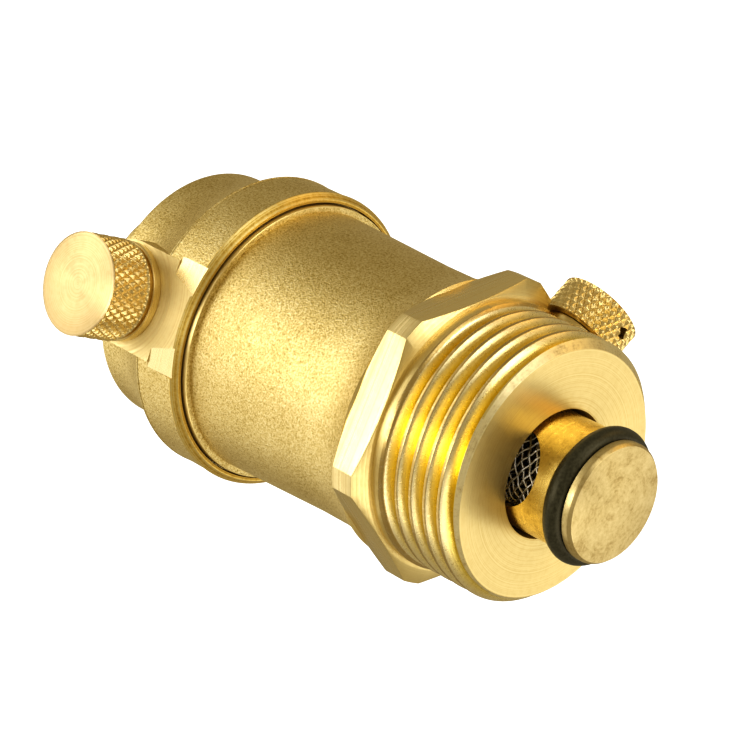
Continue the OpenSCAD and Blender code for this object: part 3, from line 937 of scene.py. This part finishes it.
def knurled_knob(name, r, back, end, bore_r, bore_end, knurls):
    """A knob about Z with a diamond knurl between two small chamfers, and a blind bore in its back.

    knurls is the number of grooves in each of the two directions. They fade out at both ends.
    """
    steps = knurls * KNURL_STEPS
    length = end - back
    rows = int(length / KNURL_ROW)
    twist = math.tan(math.radians(KNURL_HELIX)) / (TAU * r)
    bm = bmesh.new()
    rings = []

    def ring(radius, z, knurled=False):
        row = []
        for i in range(steps):
            a = i / steps
            rr = radius
            if knurled:
                along = z - back
                u = (a + along * twist) * knurls
                v = (a - along * twist) * knurls
                rise = min(abs(u % 1 - 0.5), abs(v % 1 - 0.5)) * 2
                fade = min(1.0, (along - 0.1) / KNURL_FADE, (length - 0.1 - along) / KNURL_FADE)
                rr = radius - KNURL_DEPTH * (1 - min(1.0, rise * KNURL_CREST)) * max(0.0, fade)
            row.append(bm.verts.new((rr * math.cos(TAU * a), rr * math.sin(TAU * a), z)))
        rings.append(row)

    for radius, z in [(bore_r, bore_end), (bore_r, back + 0.2), (bore_r + 0.2, back), (r - 0.4, back)]:
        ring(radius, z)
    ring(r - 0.12, back + 0.08)
    for k in range(rows + 1):
        ring(r, back + KNURL_EDGE + (length - 2 * KNURL_EDGE) * k / rows, knurled=True)
    for radius, z in [(r - 0.1, end - 0.07), (r - 0.3, end), (r * 0.5, end)]:
        ring(radius, z)
    for low, high in zip(rings, rings[1:]):
        for i in range(steps):
            k = (i + 1) % steps
            bm.faces.new((low[i], low[k], high[k], high[i]))
    for row, z in ((rings[0], bore_end), (rings[-1], end)):
        centre = bm.verts.new((0, 0, z))
        for i in range(steps):
            bm.faces.new((centre, row[i], row[(i + 1) % steps]))
    return finish_mesh(bm, name, sharp=40)


def make_vent_knob():
    """The vent valve's knob, with a finely turned face."""
    vent = knurled_knob(
        "vent_knob_knurled", VENT_KNOB_R, VENT_KNOB_BACK, VENT_KNOB_END,
        VENT_BORE_R, VENT_BORE_END, VENT_KNURLS,
    )
    on_vent_axis(vent)
    paint(vent, VENT_SKIN, VENT_FACE)
    paint_faces(vent, VENT_FACE, lambda p, _: p.y < -VENT_KNOB_END + 0.1)
    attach(vent, "vent_valve_knob")
    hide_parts("vent_knob")


def make_bleed_knob():
    """The bleed valve's knob, with the cross hole that the water leaves by."""
    bleed = knurled_knob(
        "bleed_knob_knurled", BLEED_KNOB_R, BLEED_KNOB_BACK, BLEED_KNOB_END,
        BLEED_BORE_R, BLEED_BORE_END, BLEED_KNURLS,
    )
    hole = lathe("cross_hole", cylinder(CROSS_HOLE_R, 0, 8), segments=48)
    across = Matrix.Rotation(math.pi / 2, 4, "Y")
    hole.data.transform(Matrix.Translation((0, 0, CROSS_HOLE_AT * MM)) @ across)
    combine(bleed, hole, "DIFFERENCE")
    shade(bleed, 40)
    on_bleed_axis(bleed)
    paint(bleed, BLEED_SKIN)
    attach(bleed, "bleed_valve_knob")
    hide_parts("bleed_knob")


def make_washer():
    """The smooth collar between the boss and the vent knob."""
    section = [
        (WASHER_IN_R, VENT_FLAT), (WASHER_R, VENT_FLAT),
        (WASHER_R, WASHER_END), (WASHER_IN_R, WASHER_END),
    ]
    washer = lathe("nipple_collar", rounded(section, WASHER_EDGE), segments=128)
    on_vent_axis(washer)
    paint(washer, VENT_SKIN)
    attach(washer, "housing")
    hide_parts("nipple_washer")


# ---------------------------------------------------------------- plunger


def make_plunger():
    """The plunger: a closed end, the O-ring's groove, a round window and the clip's groove."""
    flange = PLUNGER_R - 0.05
    groove = RING_MEAN_R - RING_SECTION_R
    groove_low = RING_Z - RING_GROOVE_HALF
    groove_top = RING_Z + RING_GROOVE_HALF
    profile = [
        (0, -PLUNGER_OUT), (flange - 0.40, -PLUNGER_OUT), (flange - 0.32, -PLUNGER_OUT + 0.03),
        (flange - 0.05, -PLUNGER_OUT + 0.36), (flange, -PLUNGER_OUT + 0.48),
        (flange, groove_low - 0.05), (flange - 0.06, groove_low), (groove, groove_low),
        (groove, groove_top), (PLUNGER_R - 0.06, groove_top), (PLUNGER_R, groove_top + 0.06),
        (PLUNGER_R, CLIP_GROOVE_Z), (CLIP_GROOVE_R, CLIP_GROOVE_Z),
        (CLIP_GROOVE_R, CLIP_GROOVE_TOP), (PLUNGER_R, CLIP_GROOVE_TOP),
        (PLUNGER_R, PLUNGER_TOP), (TUBE_IN_R, PLUNGER_TOP), (TUBE_IN_R, FILTER_LOW), (0, FILTER_LOW),
    ]
    plunger = lathe("plunger_tube", profile, segments=256, sharp=30)
    window = lathe("window", cylinder(WINDOW_R, -10, 10), segments=128)
    across = Matrix.Rotation(math.pi / 2, 4, "X")
    window.data.transform(Matrix.Translation((0, 0, WINDOW_Z * MM)) @ across)
    combine(plunger, window, "DIFFERENCE")
    shade(plunger, 30)
    paint(plunger, PLUNGER_SKIN, TUBE_SKIN)
    paint_faces(plunger, TUBE_SKIN, lambda p, _: p.z > RING_Z)
    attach(plunger, "plunger_group")
    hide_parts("plunger")


def make_o_ring():
    """The O-ring in the plunger's groove."""
    last = 360 - 360 / RING_SIDES
    section = arc(RING_MEAN_R, RING_Z, RING_SECTION_R, 0, last, RING_SIDES - 1)
    ring = lathe("o_ring", section, segments=192, sharp=60)
    paint(ring, RUBBER)
    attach(ring, "plunger_group")
    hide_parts("plunger_o_ring")


def make_filter():
    """Two families of round wires woven over and under each other on a cylinder."""
    sides = 6
    steps_per_cross = 4
    slope = math.tan(math.radians(WIRE_HELIX))
    lead = TAU * FILTER_R * slope
    cross = lead / (2 * WIRE_STARTS)
    low, high = FILTER_LOW + WIRE_GAP, FILTER_HIGH - WIRE_GAP
    count = int((high - low) / cross * steps_per_cross)
    bm = bmesh.new()
    for family in (1, -1):
        for s in range(WIRE_STARTS):
            rings = []
            for i in range(count + 1):
                z = low + (high - low) * i / count
                lift = WIRE_R * WIRE_LIFT * math.cos(math.pi * (z - low) / cross + math.pi * s) * family
                a = TAU * (family * (z - low) / lead + s / WIRE_STARTS)
                out = Vector((math.cos(a), math.sin(a), 0))
                along = Vector((-math.sin(a) * family, math.cos(a) * family, slope)).normalized()
                side = along.cross(out).normalized()
                centre = out * (FILTER_R - WIRE_INSET + lift) + Vector((0, 0, z))
                rings.append([
                    bm.verts.new(centre + (out * math.cos(b) + side * math.sin(b)) * WIRE_R)
                    for b in (TAU * j / sides for j in range(sides))
                ])
            for near, far in zip(rings, rings[1:]):
                for j in range(sides):
                    k = (j + 1) % sides
                    bm.faces.new((near[j], near[k], far[k], far[j]))
            bm.faces.new(rings[0][::-1])
            bm.faces.new(rings[-1])
    woven = finish_mesh(bm, "woven_filter", sharp=80)
    paint(woven, WIRE)
    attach(woven, "plunger_group")
    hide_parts("mesh_filter")


def make_spring():
    """A round-wire coil whose end turns lie flat, built at one fixed length."""
    steps, sides = 48, 10
    count = int(SPRING_TURNS * steps)
    height = SPRING_HIGH - SPRING_LOW - 2 * SPRING_WIRE_R
    bm = bmesh.new()
    rings = []
    for i in range(count + 1):
        turn = i / steps
        t = min(max((turn - SPRING_END_TURNS) / (SPRING_TURNS - 2 * SPRING_END_TURNS), 0), 1)
        z = SPRING_LOW + SPRING_WIRE_R + height * t
        a = TAU * turn
        rings.append([
            bm.verts.new((
                (SPRING_MEAN_R + SPRING_WIRE_R * math.cos(b)) * math.cos(a),
                (SPRING_MEAN_R + SPRING_WIRE_R * math.cos(b)) * math.sin(a),
                z + SPRING_WIRE_R * math.sin(b),
            ))
            for b in (TAU * j / sides for j in range(sides))
        ])
    for near, far in zip(rings, rings[1:]):
        for j in range(sides):
            k = (j + 1) % sides
            bm.faces.new((near[j], far[j], far[k], near[k]))
    bm.faces.new(rings[0])
    bm.faces.new(rings[-1][::-1])
    spring = finish_mesh(bm, "plunger_coil", sharp=60)
    paint(spring, STEEL)
    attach(spring, "housing")
    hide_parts("plunger_spring")
    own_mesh(spring)


# ---------------------------------------------------------------- pieces kept from the frame

KEPT = {
    MACHINED: ["vent_nipple", "bleed_stem", "bracket_screws", "filter_hoops", "spring_retainer"],
    RUBBER: ["vent_knob_seal", "bleed_seal", "seal_pad", "cap_gasket"],
    PLASTIC: ["float_shell", "float_lid", "float_stem"],
    STEEL: ["lever", "lever_pin", "pin_clips", "lever_bracket", "plunger_circlip", "retainer_ring"],
}

# ---------------------------------------------------------------- studio

# The camera, in millimetres and degrees, solved from the circles that the photo shows.
AIM = (0.9, 0.0, 31.1)
CAMERA_DISTANCE = 356.2
CAMERA_AZIMUTH = 12.0
CAMERA_ELEVATION = 40.61
CAMERA_ROLL = -63.21
CAMERA_LENS = 139.73
CAMERA_SENSOR = 36


def make_camera():
    """The camera at the photo's angle."""
    data = bpy.data.cameras.new("camera")
    data.lens = CAMERA_LENS
    data.sensor_width = CAMERA_SENSOR
    data.clip_start = 0.01
    data.clip_end = 20
    camera = bpy.data.objects.new("camera", data)
    turn = (
        Matrix.Rotation(math.radians(CAMERA_AZIMUTH), 4, "Z")
        @ Matrix.Rotation(math.radians(90 + CAMERA_ELEVATION), 4, "X")
        @ Matrix.Rotation(math.radians(CAMERA_ROLL), 4, "Z")
    )
    back = turn.to_3x3() @ Vector((0, 0, CAMERA_DISTANCE * MM))
    camera.matrix_world = Matrix.Translation(Vector(AIM) * MM + back) @ turn
    bpy.context.scene.collection.objects.link(camera)
    bpy.context.scene.camera = camera


def softbox(name, direction, distance, size, radiance, colour):
    """An area light that faces the vent's middle.

    direction is (right, up, back) as the camera stands. distance and size are in millimetres.
    """
    data = bpy.data.lights.new(name, "AREA")
    data.shape = "RECTANGLE"
    data.size = size[0] * MM
    data.size_y = size[1] * MM
    data.energy = radiance * math.pi * data.size * data.size_y
    data.color = colour
    light = bpy.data.objects.new(name, data)
    view = bpy.context.scene.camera.matrix_world.to_3x3()
    out = (view @ Vector(direction)).normalized()
    light.location = Vector(AIM) * MM + out * distance * MM
    light.rotation_euler = out.to_track_quat("Z", "Y").to_euler()
    bpy.context.scene.collection.objects.link(light)


# What surrounds the vent: white to the camera, a warm dim room in the gloss, and a pale one on matt
# surfaces.
WHITE = (1, 1, 1)
ROOM = (1.0, 0.88, 0.62)
ROOM_GLOSS = 0.29
ROOM_MATT = 0.95
WARM = (1.0, 0.66, 0.22)


def make_studio():
    """The surroundings and the softboxes."""
    world = bpy.data.worlds.new("studio")
    bpy.context.scene.world = world
    world.use_nodes = True
    tree = world.node_tree
    tree.nodes.clear()
    path = tree.nodes.new("ShaderNodeLightPath")

    def background(colour, strength):
        node = tree.nodes.new("ShaderNodeBackground")
        node.inputs["Color"].default_value = (*colour, 1)
        node.inputs["Strength"].default_value = strength
        return node.outputs[0]

    def choose(ray, otherwise, chosen):
        node = tree.nodes.new("ShaderNodeMixShader")
        for socket, source in zip(node.inputs, (path.outputs[ray], otherwise, chosen)):
            tree.links.new(source, socket)
        return node.outputs[0]

    felt = choose("Is Glossy Ray", background(WHITE, ROOM_MATT), background(ROOM, ROOM_GLOSS))
    seen = choose("Is Camera Ray", felt, background(WHITE, 1.0))
    tree.links.new(seen, tree.nodes.new("ShaderNodeOutputWorld").inputs["Surface"])
    softbox("key", (-0.90, 0.42, 0.12), 600, (420, 420), 1.25, WHITE)
    softbox("key_edge", (-0.58, 0.80, 0.04), 640, (300, 300), 0.4, WHITE)
    softbox("side", (-0.90, -0.25, -0.20), 600, (660, 560), 0.55, WHITE)
    softbox("strip", (-0.76, -0.03, 0.65), 600, (240, 360), 2.6, WHITE)
    softbox("fill", (0.88, -0.42, -0.15), 420, (360, 360), 0.55, WHITE)
    softbox("front", (0.55, 0.47, 0.70), 500, (280, 280), 1.05, WHITE)
    softbox("right", (0.88, 0.06, 0.46), 500, (200, 200), 2.4, WHITE)
    softbox("warm", (0.80, 0.58, 0.08), 500, (260, 260), 0.8, WARM)
    softbox("below", (0.55, -0.72, 0.42), 500, (280, 280), 1.3, WHITE)


FLOOR_HALF = 3000
FLOOR_GAP = 0.02
FLOOR_GREY = 0.86


def make_floor():
    """A pale floor under the plunger, seen only from above.

    The vent doesn't reflect it, and light from below passes through it.
    """
    bm = bmesh.new()
    bmesh.ops.create_grid(bm, x_segments=2, y_segments=2, size=FLOOR_HALF)
    bmesh.ops.translate(bm, vec=(0, 0, -PLUNGER_OUT - FLOOR_GAP), verts=bm.verts)
    floor = finish_mesh(bm, "floor", closed=False)
    material = bpy.data.materials.new("floor")
    material.use_nodes = True
    tree = material.node_tree
    bsdf = tree.nodes["Principled BSDF"]
    bsdf.inputs["Base Color"].default_value = (FLOOR_GREY, FLOOR_GREY, FLOOR_GREY, 1)
    bsdf.inputs["Roughness"].default_value = 0.8
    clear = tree.nodes.new("ShaderNodeBsdfTransparent")
    side = tree.nodes.new("ShaderNodeNewGeometry")
    mix = tree.nodes.new("ShaderNodeMixShader")
    tree.links.new(side.outputs["Backfacing"], mix.inputs[0])
    tree.links.new(bsdf.outputs[0], mix.inputs[1])
    tree.links.new(clear.outputs[0], mix.inputs[2])
    tree.links.new(mix.outputs[0], tree.nodes["Material Output"].inputs["Surface"])
    paint(floor, material)
    for ray in ("glossy", "diffuse", "transmission", "shadow"):
        setattr(floor, "visible_" + ray, False)


make_camera()
make_body()
make_cap()
make_vent_knob()
make_bleed_knob()
make_washer()
make_plunger()
make_o_ring()
make_filter()
make_spring()
for material, names in KEPT.items():
    for name in names:
        paint(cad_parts[name], material)
make_studio()
make_floor()
bpy.context.scene.view_settings.view_transform = "Standard"
bpy.context.scene.view_settings.look = "High Contrast"
